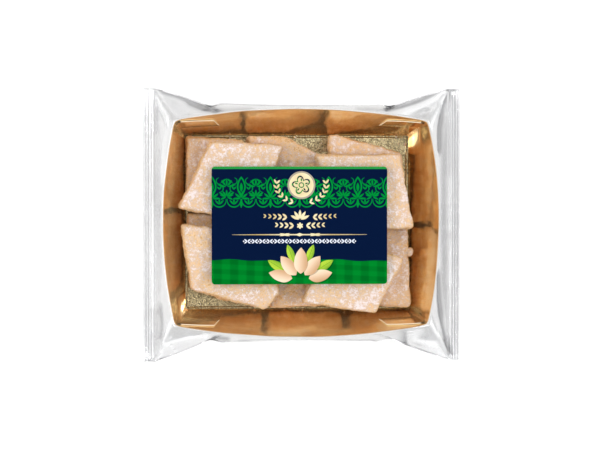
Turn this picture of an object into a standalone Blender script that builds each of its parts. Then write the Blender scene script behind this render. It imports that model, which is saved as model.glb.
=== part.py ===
"""Clear flow pack of sugared almond biscuits: the sealed bag pulled over a bowed card tray, and its paper label.

Everything is in metres, +Z up. The origin is on the table, under the middle of the pack. X runs from one
crimped end seal to the other, Y along the seals.
"""

import math

import bmesh
import bpy

MM = 0.001

# Bag: its overall size, and the two crimped end seals that stick out at about half the tray's height
PACK_LENGTH = 180.0 * MM
SEAL_LENGTH = 154.6 * MM
SEAL_DEPTH = 6.0 * MM
SEAL_HEIGHT = 15.0 * MM
SEAL_THICKNESS = 0.9 * MM
CRIMP_RIDGES = 3
CRIMP_LIFT = 0.3 * MM
CRIMP_FADE = 0.06

# Tray under the film: base rectangle, rim corners, how far the rim bows out between its corners, and how far
# the tray lies off the middle of its bag
BASE_LENGTH = 129.0 * MM
BASE_WIDTH = 101.4 * MM
RIM_LENGTH = 143.2 * MM
RIM_WIDTH = 115.4 * MM
RIM_BOW_ENDS = 6.6 * MM
RIM_BOW_SIDES = 6.7 * MM
RIM_HEIGHT = 32.0 * MM
CORNER_RISE = 2.2 * MM
TRAY_SHIFT_X = -1.8 * MM
TRAY_SHIFT_Y = 1.3 * MM

# Side folds: where the film leaves the tray's long sides, and the notch before it flares out to the seals
FOLD_MID_WIDTH = 132.6 * MM
FOLD_SPREAD = 1.0 * MM
FOLD_SHOULDER = 43.0 * MM
SHOULDER_FALL = 43.0
NOTCH_X = 50.0 * MM
NOTCH_HALF_WIDTH = 65.2 * MM
FOLD_EDGE = 0.5 * MM
FOLD_HEIGHT_MID = 28.5 * MM
FOLD_HEIGHT_NOTCH = 24.5 * MM

# Panels between the tray and the folds sag in a little, as nothing holds them from inside
TOP_PANEL_SAG = 0.8 * MM
BOTTOM_PANEL_SAG = 1.0 * MM

# Label: a rounded paper sticker on the top film
LABEL_LENGTH = 98.8 * MM
LABEL_WIDTH = 66.0 * MM
LABEL_THICKNESS = 0.25 * MM
LABEL_GAP = 0.3 * MM
LABEL_CORNER = 1.8 * MM
LABEL_CORNER_STEPS = 4
LABEL_X = -2.9 * MM
LABEL_Y = 0.0 * MM
LABEL_COLUMNS = 8
LABEL_ROWS = 6

# Rings of the bag's grid, counted from the middle of each web out to the seals
RINGS_FLAT = 9
RINGS_PANEL = 5
RINGS_SEAL = 2 * CRIMP_RIDGES
RINGS = RINGS_FLAT + RINGS_PANEL + RINGS_SEAL
ON_RIDGE = 0.1 / RINGS

CORNER_X = RIM_LENGTH / 2
CORNER_Y = RIM_WIDTH / 2
SEAL_INNER_X = PACK_LENGTH / 2 - SEAL_DEPTH
SEAL_Y = SEAL_LENGTH / 2


def clear_scene():
    for thing in list(bpy.data.objects):
        bpy.data.objects.remove(thing, do_unlink=True)


def new_collection(name):
    made = bpy.data.collections.new(name)
    bpy.context.scene.collection.children.link(made)
    return made


def new_material(name, colour, roughness, metallic=0.0, alpha=1.0):
    material = bpy.data.materials.new(name)
    material.use_nodes = True
    shader = material.node_tree.nodes["Principled BSDF"]
    shader.inputs["Base Color"].default_value = (*colour, 1.0)
    shader.inputs["Roughness"].default_value = roughness
    shader.inputs["Metallic"].default_value = metallic
    shader.inputs["Alpha"].default_value = alpha
    return material


def new_object(name, mesh_builder, collection, material):
    """Turns a finished bmesh into a named object with its faces pointing out."""
    bmesh.ops.recalc_face_normals(mesh_builder, faces=mesh_builder.faces)
    mesh = bpy.data.meshes.new(name)
    mesh_builder.to_mesh(mesh)
    mesh_builder.free()
    mesh.materials.append(material)
    mesh.shade_smooth()
    mesh.set_sharp_from_angle(angle=0.6)
    made = bpy.data.objects.new(name, mesh)
    collection.objects.link(made)
    return made


def mix(low, high, share):
    return low + (high - low) * share


def mix_points(start, end, share):
    return tuple(mix(a, b, share) for a, b in zip(start, end))


def bow(along):
    """1 at the middle of a side and 0 at its corners; along runs from -1 to 1."""
    return 1.0 - along * along


def top_height(x, y):
    """Film across the tray's mouth: level along its two middle lines, and higher towards the four rim corners."""
    from_middle_x = (x - TRAY_SHIFT_X) / CORNER_X
    from_middle_y = (y - TRAY_SHIFT_Y) / CORNER_Y
    return RIM_HEIGHT + CORNER_RISE * from_middle_x**2 * from_middle_y**2


def flare_share(x):
    """0 at the notch, 1 at the seal, and below 0 over the tray. The tray is nearer to one seal than the other."""
    from_tray = abs(x - TRAY_SHIFT_X)
    end = math.copysign(1.0, x - TRAY_SHIFT_X)
    reach = SEAL_INNER_X - end * TRAY_SHIFT_X
    return min(1.0, (from_tray - NOTCH_X) / (reach - NOTCH_X))


def fold_line(x, side):
    """The side fold's y at x: a straight tube over the tray, a notch, then a flare out to the seals."""
    from_tray = abs(x - TRAY_SHIFT_X)
    tube = FOLD_MID_WIDTH / 2 + FOLD_SPREAD * (from_tray / FOLD_SHOULDER) ** 2
    tube -= SHOULDER_FALL * max(0.0, from_tray - FOLD_SHOULDER) ** 2
    flare = flare_share(x)
    gusset = mix(NOTCH_HALF_WIDTH, SEAL_Y, flare * (1.2 - 0.2 * flare))
    return side * min(SEAL_Y, max(tube, gusset)) + TRAY_SHIFT_Y * (1.0 - max(0.0, flare))


def fold_height(x):
    """Height of the side fold: just under the rim at the middle, and down to the seals at the ends."""
    flare = flare_share(x)
    if flare < 0.0:
        return mix(FOLD_HEIGHT_MID, FOLD_HEIGHT_NOTCH, ((x - TRAY_SHIFT_X) / NOTCH_X) ** 2)
    return mix(FOLD_HEIGHT_NOTCH, SEAL_HEIGHT, flare)


def crimp_lift(step, along):
    """Every other ring of an end seal is pressed up into a ridge, which fades out at the seal's two ends."""
    if step % 2 == 0:
        return 0.0
    return CRIMP_LIFT * min(1.0, (1.0 - abs(along)) / CRIMP_FADE)


def rim_point(on_end, side, along, share):
    """A point share of the way from the tray's middle to its bowed rim, on the film over its mouth."""
    if on_end:
        x = side * (CORNER_X + RIM_BOW_ENDS * bow(along))
        y = CORNER_Y * along
    else:
        x = CORNER_X * along
        y = side * (CORNER_Y + RIM_BOW_SIDES * bow(along))
    x = x * share + TRAY_SHIFT_X
    y = y * share + TRAY_SHIFT_Y
    return x, y, top_height(x, y)


def base_point(on_end, side, along, share):
    """A point share of the way from the base's middle to its straight edge, on the film under it."""
    x = side if on_end else along
    y = along if on_end else side
    return x * share * BASE_LENGTH / 2 + TRAY_SHIFT_X, y * share * BASE_WIDTH / 2 + TRAY_SHIFT_Y, 0.0


def fold_point(on_end, side, along):
    if on_end:
        return side * SEAL_INNER_X, (SEAL_Y - FOLD_EDGE) * along, SEAL_HEIGHT
    x = SEAL_INNER_X * along
    return x, fold_line(x, side) - side * FOLD_EDGE, fold_height(x)


def edge_point(on_end, side, along):
    half_length = PACK_LENGTH / 2
    if on_end:
        return side * half_length, SEAL_Y * along, SEAL_HEIGHT
    x = half_length * along
    return x, fold_line(x, side), fold_height(x)


def web_point(u, v, is_top):
    """One point of the top or bottom web. u and v run from -1 to 1, and each square ring of the grid follows
    the base, the rim, the fold or the seal's edge."""
    ring = max(abs(u), abs(v)) * RINGS
    on_end = abs(u) >= abs(v)
    major, minor = (u, v) if on_end else (v, u)
    side = 1.0 if major >= 0 else -1.0
    along = minor / abs(major) if major else 0.0
    inner = rim_point if is_top else base_point
    lift = SEAL_THICKNESS / 2 if is_top else -SEAL_THICKNESS / 2

    if ring <= RINGS_FLAT:
        return inner(on_end, side, along, ring / RINGS_FLAT)

    start = inner(on_end, side, along, 1.0)
    fold = fold_point(on_end, side, along)
    fold = (fold[0], fold[1], fold[2] + lift)
    if ring <= RINGS_FLAT + RINGS_PANEL:
        share = (ring - RINGS_FLAT) / RINGS_PANEL
        x, y, z = mix_points(start, fold, share)
        sag = 4.0 * share * (1.0 - share)
        return x, y, z - sag * TOP_PANEL_SAG if is_top else z + sag * BOTTOM_PANEL_SAG * share

    edge = edge_point(on_end, side, along)
    edge = (edge[0], edge[1], edge[2] + lift)
    step = round(ring) - RINGS_FLAT - RINGS_PANEL
    x, y, z = mix_points(fold, edge, step / RINGS_SEAL)
    return x, y, z + crimp_lift(step, along) if on_end else z


def split_on_ridges(corners):
    """Splits the grid's squares that lie on its two diagonals along them, as a ridge of the bag runs there."""
    for face in {face for corner in corners for face in corner.link_faces}:
        ridge = [c for c in face.verts if math.isclose(abs(c.co.x), abs(c.co.y), abs_tol=ON_RIDGE)]
        if len(ridge) == 2:
            bmesh.utils.face_split(face, *ridge)


def build_bag(collection, material):
    """Two square grids become the top and bottom webs, and their outer loops are bridged, as the film is sealed."""
    builder = bmesh.new()
    outer_edges = []
    for is_top in (True, False):
        web = bmesh.ops.create_grid(builder, x_segments=2 * RINGS, y_segments=2 * RINGS, size=1.0)
        corners = web["verts"]
        edges = {edge for corner in corners for edge in corner.link_edges}
        outer_edges += [edge for edge in edges if edge.is_boundary]
        split_on_ridges(corners)
        for corner in corners:
            corner.co = web_point(corner.co.x, corner.co.y, is_top)
    bmesh.ops.bridge_loops(builder, edges=outer_edges)
    bmesh.ops.triangulate(builder, faces=builder.faces)
    return new_object("bag", builder, collection, material)


def build_label(collection, material):
    """A thin plate with rounded corners, cut into a grid so that it can follow the film under it."""
    builder = bmesh.new()
    plate = bmesh.ops.create_cube(builder, size=1.0)["verts"]
    bmesh.ops.scale(builder, vec=(LABEL_LENGTH, LABEL_WIDTH, LABEL_THICKNESS), verts=plate)
    upright = [edge for edge in builder.edges if edge.verts[0].co.z * edge.verts[1].co.z < 0]
    bmesh.ops.bevel(
        builder, geom=upright, offset=LABEL_CORNER, segments=LABEL_CORNER_STEPS, profile=0.5, affect="EDGES"
    )
    for count, length, normal in (
        (LABEL_COLUMNS, LABEL_LENGTH, (1, 0, 0)),
        (LABEL_ROWS, LABEL_WIDTH, (0, 1, 0)),
    ):
        for step in range(1, count):
            middle = [axis * length * (step / count - 0.5) for axis in normal]
            whole = builder.verts[:] + builder.edges[:] + builder.faces[:]
            bmesh.ops.bisect_plane(builder, geom=whole, plane_co=middle, plane_no=normal)
    for corner in builder.verts:
        x = corner.co.x + LABEL_X
        y = corner.co.y + LABEL_Y
        lift = LABEL_GAP + LABEL_THICKNESS / 2 + corner.co.z
        corner.co = (x, y, top_height(x, y) + lift)
    bmesh.ops.triangulate(builder, faces=builder.faces)
    return new_object("label", builder, collection, material)


def main():
    clear_scene()
    pack = new_collection("almond_biscuit_pack")
    film = new_material("clear_film", (0.80, 0.76, 0.70), 0.2)
    paper = new_material("label_paper", (0.01, 0.03, 0.09), 0.35)
    build_bag(pack, film)
    build_label(pack, paper)


main()
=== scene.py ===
"""Looks of a clear flow pack of sugared almond biscuits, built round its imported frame.

Everything is in metres, +Z up. The pack lies on z = 0 with its label up. X runs from one end seal to the
other and Y along the seals. The sections follow the pack as it is filled: tray, corner locks, biscuits,
crumbs, film and label. The studio comes last. The finishes work in millimetres.
"""

import math
import random

import bpy
import numpy as np
from mathutils import Euler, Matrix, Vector, noise


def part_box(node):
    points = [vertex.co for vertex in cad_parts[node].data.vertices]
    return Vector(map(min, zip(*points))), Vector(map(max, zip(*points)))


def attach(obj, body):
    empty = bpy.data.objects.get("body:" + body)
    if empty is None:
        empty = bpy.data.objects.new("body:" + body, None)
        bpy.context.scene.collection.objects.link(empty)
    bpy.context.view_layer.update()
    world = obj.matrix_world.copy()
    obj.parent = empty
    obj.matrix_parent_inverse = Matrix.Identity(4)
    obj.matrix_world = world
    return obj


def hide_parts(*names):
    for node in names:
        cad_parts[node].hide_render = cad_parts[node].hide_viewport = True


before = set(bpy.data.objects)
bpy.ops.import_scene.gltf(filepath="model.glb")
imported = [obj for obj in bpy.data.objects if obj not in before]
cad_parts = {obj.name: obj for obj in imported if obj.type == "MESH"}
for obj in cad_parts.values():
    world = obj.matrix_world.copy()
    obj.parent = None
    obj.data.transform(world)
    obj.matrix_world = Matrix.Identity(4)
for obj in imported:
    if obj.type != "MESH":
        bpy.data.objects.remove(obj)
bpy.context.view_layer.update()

# Card tray
# A single blank of white board with gold foil on its inner side, scored, folded up and locked at its four
# corners. The walls lean out, and the film pulled over the full tray bows its rim.

MM = 0.001
TRAY_X = -1.8 * MM
TRAY_Y = 1.3 * MM
BASE_X = 63.9 * MM
BASE_Y = 49.4 * MM
RIM_X = 70.9 * MM
RIM_Y = 57.0 * MM
RIM_BOW_X = 6.5 * MM
RIM_BOW_Y = 6.6 * MM
RIM_ROUNDING = 0.5 * MM
RIM_ROUND_FROM = 0.94
RIM_HEIGHT = 31.6 * MM
RIM_CORNER_RISE = 2.2 * MM
CARD = 0.45 * MM
CARD_FLOOR = 0.65 * MM
CARD_CREASE = 28
SCORE_BEAD = 0.22 * MM
BASE_SHARES = [step / 12 for step in range(12)] + [0.965, 0.975, 0.982, 0.989, 1.0]
WALL_STEPS = 18
TRAY_RINGS = len(BASE_SHARES) - 1 + WALL_STEPS
BEAD_RING = len(BASE_SHARES) - 3
WALL_WAVE = 0.35 * MM
WAVES_PER_METRE = 45.0
WAVE_CHANGE_UP_WALL = 0.02


class Signal:
    """An output socket of a finish. Arithmetic on it adds Math nodes, so a pattern reads as a formula."""

    def __init__(self, finish, socket):
        self.finish = finish
        self.socket = socket

    def math(self, operation, first, second=0.0):
        return self.finish.add("Math", {"operation": operation}, {0: first, 1: second})

    def __add__(self, other):
        return self.math("ADD", self, other)

    def __radd__(self, other):
        return self.math("ADD", other, self)

    def __sub__(self, other):
        return self.math("SUBTRACT", self, other)

    def __rsub__(self, other):
        return self.math("SUBTRACT", other, self)

    def __mul__(self, other):
        return self.math("MULTIPLY", self, other)

    def __rmul__(self, other):
        return self.math("MULTIPLY", other, self)

    def __truediv__(self, other):
        return self.math("DIVIDE", self, other)

    def __pow__(self, other):
        return self.math("POWER", self, other)

    def __neg__(self):
        return self.math("MULTIPLY", self, -1.0)

    def __abs__(self):
        return self.math("ABSOLUTE", self)

    def least(self, other):
        return self.math("MINIMUM", self, other)

    def most(self, other):
        return self.math("MAXIMUM", self, other)

    def sine(self):
        return self.math("SINE", self)

    def folded(self, period):
        """Distance from the nearest multiple of the period, so that a pattern repeats mirrored."""
        return self.math("PINGPONG", self, period / 2)

    def rise(self, low, high):
        """0 below low, 1 above high, and a smooth rise between. low may be the larger of the two."""
        settings = {"interpolation_type": "SMOOTHSTEP"}
        return self.finish.add("MapRange", settings, {"Value": self, "From Min": low, "From Max": high})

    def blend(self, low, high):
        """A colour between two colours, or links to them."""
        settings = {"data_type": "RGBA"}
        values = {"Factor": self, 6: colour(low), 7: colour(high)}
        return self.finish.add("Mix", settings, values, output=2)


def colour(value):
    return value if isinstance(value, Signal) or len(value) == 4 else (*value, 1.0)


class Finish:
    """A material while its nodes are put together."""

    def __init__(self, name):
        self.material = bpy.data.materials.new(name)
        self.material.use_nodes = True
        self.tree = self.material.node_tree
        self.tree.nodes.clear()
        self.end = self.tree.nodes.new("ShaderNodeOutputMaterial")

    def add(self, kind, settings=None, values=None, output=0):
        """Adds a node, sets its settings, sets or links its inputs, and gives back one of its outputs."""
        made = self.tree.nodes.new("ShaderNode" + kind)
        for name, value in (settings or {}).items():
            setattr(made, name, value)
        for key, value in (values or {}).items():
            if isinstance(value, Signal):
                self.tree.links.new(value.socket, made.inputs[key])
            else:
                made.inputs[key].default_value = value
        return Signal(self, made.outputs[output])

    def place(self):
        return self.add("TexCoord", output="Object")

    def axes(self):
        """x, y and z of the point in millimetres."""
        split = self.add("SeparateXYZ", values={0: self.place()}).socket.node
        return [Signal(self, split.outputs[axis]) / MM for axis in range(3)]

    def grain(self, size, detail=3.0, roughness=0.55, stretch=None):
        """Noise from 0 to 1 whose blobs are about size metres across."""
        place = self.place()
        if stretch:
            place = self.add("VectorMath", {"operation": "MULTIPLY"}, {0: place, 1: stretch})
        values = {"Vector": place, "Scale": 1.0 / size, "Detail": detail, "Roughness": roughness}
        return self.add("TexNoise", values=values)

    def bump(self, height, depth, strength=1.0, under=None):
        values = {"Height": height, "Distance": depth, "Strength": strength}
        if under:
            values["Normal"] = under
        return self.add("Bump", values=values)

    def surface(self, **values):
        """The Principled shader, joined to the output. A word such as Base_Color stands for Base Color."""
        named = {name.replace("_", " "): value for name, value in values.items()}
        self.show(self.add("BsdfPrincipled", values=named))

    def show(self, shader):
        self.tree.links.new(shader.socket, self.end.inputs["Surface"])


def mix(low, high, share):
    return low + (high - low) * share


def bow(along):
    """1 in the middle of a side and 0 at its corners."""
    return 1.0 - along * along


def square_place(u, v):
    """Where a point of a square grid lies on its ring: on an end or side, at which one, how far along."""
    on_end = abs(u) >= abs(v)
    major, minor = (u, v) if on_end else (v, u)
    side = 1.0 if major >= 0 else -1.0
    along = minor / abs(major) if major else 0.0
    return on_end, side, along


def rim_place(on_end, side, along):
    """A point of the tray's rim, seen from above: a bowed rectangle with its four corners rounded off."""
    cut = RIM_ROUNDING * max(0.0, (abs(along) - RIM_ROUND_FROM) / (1.0 - RIM_ROUND_FROM)) ** 2
    if on_end:
        return side * (RIM_X + RIM_BOW_X * bow(along) - cut), (RIM_Y - cut) * along
    return (RIM_X - cut) * along, side * (RIM_Y + RIM_BOW_Y * bow(along) - cut)


def wall_place(on_end, side, along, climb):
    """A point on the inner face of a wall. climb runs from 0 at the base to 1 at the rim."""
    base_x = side * BASE_X if on_end else along * BASE_X
    base_y = along * BASE_Y if on_end else side * BASE_Y
    rim_x, rim_y = rim_place(on_end, side, along)
    rim_z = RIM_HEIGHT + RIM_CORNER_RISE * (rim_x / RIM_X) ** 2 * (rim_y / RIM_Y) ** 2
    on_card = Vector((rim_x, rim_y, climb * WAVE_CHANGE_UP_WALL))
    wave = WALL_WAVE * climb * noise.noise(on_card * WAVES_PER_METRE)
    x = mix(base_x, rim_x, climb) + TRAY_X
    y = mix(base_y, rim_y, climb) + TRAY_Y
    lean = Vector((side, 0.0, 0.0)) if on_end else Vector((0.0, side, 0.0))
    return Vector((x, y, mix(CARD_FLOOR, rim_z, climb))) + lean * wave


def tray_place(u, v):
    """A point of the card's inner face: rings of the base, with a bead along its score, then the walls."""
    ring = round(max(abs(u), abs(v)) * TRAY_RINGS)
    on_end, side, along = square_place(u, v)
    if ring < len(BASE_SHARES):
        share = BASE_SHARES[ring]
        x = (side if on_end else along) * share * BASE_X
        y = (along if on_end else side) * share * BASE_Y
        lift = SCORE_BEAD if ring == BEAD_RING else 0.0
        return Vector((x + TRAY_X, y + TRAY_Y, CARD_FLOOR + lift))
    return wall_place(on_end, side, along, (ring - len(BASE_SHARES) + 1) / WALL_STEPS)


def deselect():
    bpy.ops.object.select_all(action="DESELECT")


def new_grid(name, columns, rows, place):
    """A grid of the given number of squares, each point moved to place(u, v), with u and v from -1 to 1."""
    deselect()
    bpy.ops.mesh.primitive_grid_add(x_subdivisions=columns, y_subdivisions=rows, size=2.0)
    piece = bpy.context.object
    piece.name = name
    for point in piece.data.vertices:
        point.co = place(point.co.x, point.co.y)
    return piece


def apply_modifier(piece, kind, **settings):
    made = piece.modifiers.new(kind.title(), kind)
    for name, value in settings.items():
        setattr(made, name, value)
    bpy.context.view_layer.objects.active = piece
    bpy.ops.object.modifier_apply(modifier=made.name)


def thicken(piece, thickness):
    """Gives a sheet of card its thickness, with its second material behind and its third round the edge."""
    settings = {"offset": -1.0, "material_offset": 1, "material_offset_rim": 2}
    apply_modifier(piece, "SOLIDIFY", thickness=thickness, **settings)


def shade(piece, degrees):
    """Shades a piece smooth, apart from edges that turn by more than the given angle."""
    deselect()
    piece.select_set(True)
    bpy.context.view_layer.objects.active = piece
    bpy.ops.object.shade_smooth_by_angle(angle=math.radians(degrees))


def wear(piece, *finishes):
    piece.data.materials.clear()
    for finish in finishes:
        piece.data.materials.append(finish.material)


def belongs(piece, slot, *nodes):
    """Fixes a finished piece to the pack's one body and hides the imported solids that it stands for. Its
    slot is not used.
    """
    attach(piece, "root")
    if nodes:
        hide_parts(*nodes)


# Painted reflection: the walls' gold runs from a shaded, redder foot to a lit rim
GOLD_FOOT_PAINTED_SHADE = (0.84, 0.46, 0.16)
GOLD_RIM_PAINTED_LIGHT = (1.0, 0.79, 0.44)
# The base's foil, darker in the embossing's hollows: painted shade
GOLD_HOLLOW_PAINTED_SHADE = (0.24, 0.19, 0.10)
GOLD_EMBOSS_CREST = (0.58, 0.49, 0.29)
BOARD_WHITE = (0.72, 0.66, 0.56)
BOARD_PALE = (0.80, 0.75, 0.66)
RIM_BROWN = (0.42, 0.24, 0.10)
RIM_GOLD = (0.60, 0.36, 0.15)
EDGE_CREAM = (0.92, 0.80, 0.58)
EDGE_PALE = (0.97, 0.90, 0.74)
# Painted shadow on the cut edge, where a flap runs into its slit
SLOT_PAINTED_SHADOW = (0.03, 0.03, 0.02)
SLOT_SHADOW_FROM, SLOT_SHADOW_TO = 67.2, 68.0
CRUMPLE_REACH = 2.4
FLARE_REACH = 14.0
FLARE_TOP = 26.0
FLARE_LEAN = 2.2
# Painted light and shade by side: how the walls' metallic changes across the tray
SIDE_SHADE_SLANT, SIDE_SHADE_REACH = 0.55, 90.0
WAVE_SIZE, WAVE_DEPTH = 11 * MM, 0.9 * MM
PEEL_SIZE, PEEL_DEPTH = 0.9 * MM, 0.012 * MM
CRACKLE_SIZE, CRACKLE_DEPTH = 1.0 * MM, 0.28 * MM
BAND_SIZE = 13 * MM
BASE_FADE = (1.6, 1.0)
BASE_CRACKLE = 0.8
WALL_METALLIC, BASE_GAIN, SIDE_SHADE_GAIN = 0.86, 0.09, 0.08
FOIL_ROUGHNESS, WAVE_ROUGHNESS = 0.17, 0.06

gold = Finish("gold_foil")
x_mm, y_mm, z_mm = gold.axes()
to_right = x_mm - TRAY_X / MM
to_far = y_mm - TRAY_Y / MM
on_base = z_mm.rise(*BASE_FADE)
climb = z_mm / (RIM_HEIGHT / MM)
from_end = BASE_X / MM + climb * ((RIM_X - BASE_X) / MM) - abs(to_right)
from_side = BASE_Y / MM + climb * ((RIM_Y - BASE_Y) / MM) - abs(to_far)
crumpled = from_end.most(from_side).rise(CRUMPLE_REACH, 0.3) * z_mm.rise(1.0, 3.0)

# The end walls lean back beside two opposite corners, where they catch the light
flare_corners = (to_right * to_far).rise(0.0, 400.0)
flare_width = from_end.rise(2.0, 1.0) * from_side.rise(FLARE_REACH, 2.0)
flare_height = z_mm.rise(FLARE_TOP, 6.0) * z_mm.rise(0.6, 1.2)
flared = flare_width * flare_height * flare_corners
upward = gold.add("CombineXYZ", values={2: FLARE_LEAN * flared})
flat_normal = gold.add("NewGeometry", output="Normal")
leant = gold.add("VectorMath", {"operation": "ADD"}, {0: flat_normal, 1: upward})
leant = gold.add("VectorMath", {"operation": "NORMALIZE"}, {0: leant})

# The walls' colour holds painted reflection: darker and redder at the foot, as if mirroring the shaded sides
# of the biscuits, and brighter towards the rim and in long bands. The base is embossed, with painted shade in
# its hollows.
waves = gold.grain(WAVE_SIZE, detail=2.0, stretch=(1.0, 1.0, 0.3))
orange_peel = gold.grain(PEEL_SIZE, detail=2.0)
crackle = gold.grain(CRACKLE_SIZE, detail=5.0, roughness=0.7)
bands = gold.grain(BAND_SIZE, detail=4.0, stretch=(0.6, 0.6, 1.8))
wall_gold_painted_reflection = (0.5 * climb.rise(0.0, 0.7) + 0.5 * bands.rise(0.38, 0.62)).blend(GOLD_FOOT_PAINTED_SHADE, GOLD_RIM_PAINTED_LIGHT)
# Painted shade: the base's foil is darker in the embossing's hollows
base_gold_painted_shade = crackle.rise(0.40, 0.58).blend(GOLD_HOLLOW_PAINTED_SHADE, GOLD_EMBOSS_CREST)
# Painted light and shade: the walls grow less metallic, so lighter, towards the left and near sides, and more
# metallic, so darker, towards the right and far ones
painted_side_shade = (x_mm + SIDE_SHADE_SLANT * y_mm) / SIDE_SHADE_REACH * (1.0 - on_base)
broad = gold.bump(waves, WAVE_DEPTH, under=leant)
fine = gold.bump(orange_peel, PEEL_DEPTH, under=broad)
gold.surface(
    Base_Color=on_base.blend(wall_gold_painted_reflection, base_gold_painted_shade),
    Metallic=WALL_METALLIC + BASE_GAIN * on_base + SIDE_SHADE_GAIN * painted_side_shade,
    Roughness=FOIL_ROUGHNESS + WAVE_ROUGHNESS * waves,
    Normal=gold.bump(crackle * (BASE_CRACKLE * on_base + crumpled), CRACKLE_DEPTH, under=fine),
)

board = Finish("board_back")
fibres = board.grain(0.8 * MM, detail=5.0, stretch=(1.0, 0.35, 1.0))
board.surface(
    Base_Color=fibres.blend(BOARD_WHITE, BOARD_PALE),
    Roughness=0.75,
    Normal=board.bump(fibres, 0.04 * MM),
)

foil_rim = Finish("foil_rim")
foil_rim.surface(
    Base_Color=foil_rim.grain(1.2 * MM).blend(RIM_BROWN, RIM_GOLD),
    Metallic=0.6,
    Roughness=0.5,
)

edge = Finish("board_cut_edge")
edge_fibres = edge.grain(0.3 * MM, detail=4.0)
# Painted shadow: the cut edge turns near black where the flap runs into the slit
slot_shadow = abs(edge.axes()[0] - TRAY_X / MM).rise(SLOT_SHADOW_FROM, SLOT_SHADOW_TO)
edge.surface(
    Base_Color=slot_shadow.blend(edge_fibres.blend(EDGE_CREAM, EDGE_PALE), SLOT_PAINTED_SHADOW),
    Roughness=0.8,
    Normal=edge.bump(edge_fibres, 0.05 * MM),
)

tray = new_grid("card_tray", 2 * TRAY_RINGS, 2 * TRAY_RINGS, tray_place)
wear(tray, gold, board, foil_rim)
thicken(tray, CARD)
shade(tray, CARD_CREASE)
belongs(tray, "gold_card", "bag")

# Corner locks
# The end walls run on as flaps round the four corners. Each flap lies on the inner face of a long wall and is
# tucked through a slit in it, so only its cut top and slanted end show, as pale card edges.

LOCK_LENGTH = 20.0 * MM
LOCK_END_SLANT = 2.6 * MM
LOCK_TOP_AT_CORNER = 0.955
LOCK_TOP_AT_END = 0.79
LOCK_SLIT = 0.44
LOCK_START = 0.985
LOCK_SUNK = 0.35 * MM
LOCK_PROUD = 0.75 * MM
LOCK_PROUD_AT_CORNER = 0.35
LOCK_SWELL_START = 0.25
LOCK_LIFT_RATE = 2.2
LOCK_CARD = 0.5 * MM


def lock_place(end, side):
    """Places the points of the flap at one corner. u runs from the corner along the wall and v up it."""

    def place(u, v):
        run, up = (u + 1) / 2, (v + 1) / 2
        reach = run * (LOCK_LENGTH + LOCK_END_SLANT * (1.0 - up)) / RIM_X
        top = mix(LOCK_TOP_AT_CORNER, LOCK_TOP_AT_END, run)
        climb = mix(LOCK_SLIT, top, up)
        on_wall = wall_place(False, side, end * (LOCK_START - reach), climb)
        lifted = mix(-LOCK_SUNK, LOCK_PROUD, min(1.0, up * LOCK_LIFT_RATE))
        swell = math.sin(math.pi * min(run + LOCK_SWELL_START, 0.5))
        return on_wall + Vector((0.0, -side * lifted * mix(LOCK_PROUD_AT_CORNER, 1.0, swell), 0.0))

    return place


def turn_over(piece):
    """Turns all faces of a sheet over."""
    deselect()
    piece.select_set(True)
    bpy.context.view_layer.objects.active = piece
    bpy.ops.object.mode_set(mode="EDIT")
    bpy.ops.mesh.select_all(action="SELECT")
    bpy.ops.mesh.flip_normals()
    bpy.ops.object.mode_set(mode="OBJECT")


for end, end_name in ((-1, "left"), (1, "right")):
    for side, side_name in ((1, "far"), (-1, "near")):
        lock = new_grid(f"corner_lock_{end_name}_{side_name}", 16, 8, lock_place(end, side))
        wear(lock, gold, board, edge)
        # The flaps at two opposite corners come out with their gold side to the wall
        if end * side > 0:
            turn_over(lock)
        thicken(lock, LOCK_CARD)
        shade(lock, CARD_CREASE)
        belongs(lock, "gold_card", "bag")

# Almond biscuits
# Soft baked almond paste, rolled out, cut into rhombs by hand and rolled in icing sugar, so the edges are
# round and uneven and the sugar lies in crusty clumps. Ten of them lie loose in two layers.

BISCUIT_VOXEL = 0.55 * MM
EDGE_ROUNDING = 1.8 * MM
LUMP_SIZE, LUMP_DEPTH = 17.0 * MM, 0.9 * MM
DIMPLE_SIZE, DIMPLE_DEPTH = 5.5 * MM, 0.7 * MM
CRUMB_SIZE, CRUMB_DEPTH = 1.7 * MM, 0.42 * MM
CLUMP_SIZE, CLUMP_RISE = 1.6 * MM, 0.38 * MM
PATCH_SIZE, PATCH_SHARE = 5 * CLUMP_SIZE, 0.8
CLUMPING = 0.45
SUGAR_LOST = 0.12
SIDE_SUGAR = 0.3
TOP_FROM, TOP_SPAN = 0.45, 0.52
TOP_LUMPS = 0.6
ALL_ROUND = 180

# A layer's floor and its biscuits' thickness
LOWER = (1.3 * MM, 13.2 * MM)
UPPER = (16.0 * MM, 12.0 * MM)
BROKEN = (8.6 * MM, 5.4 * MM)

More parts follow.
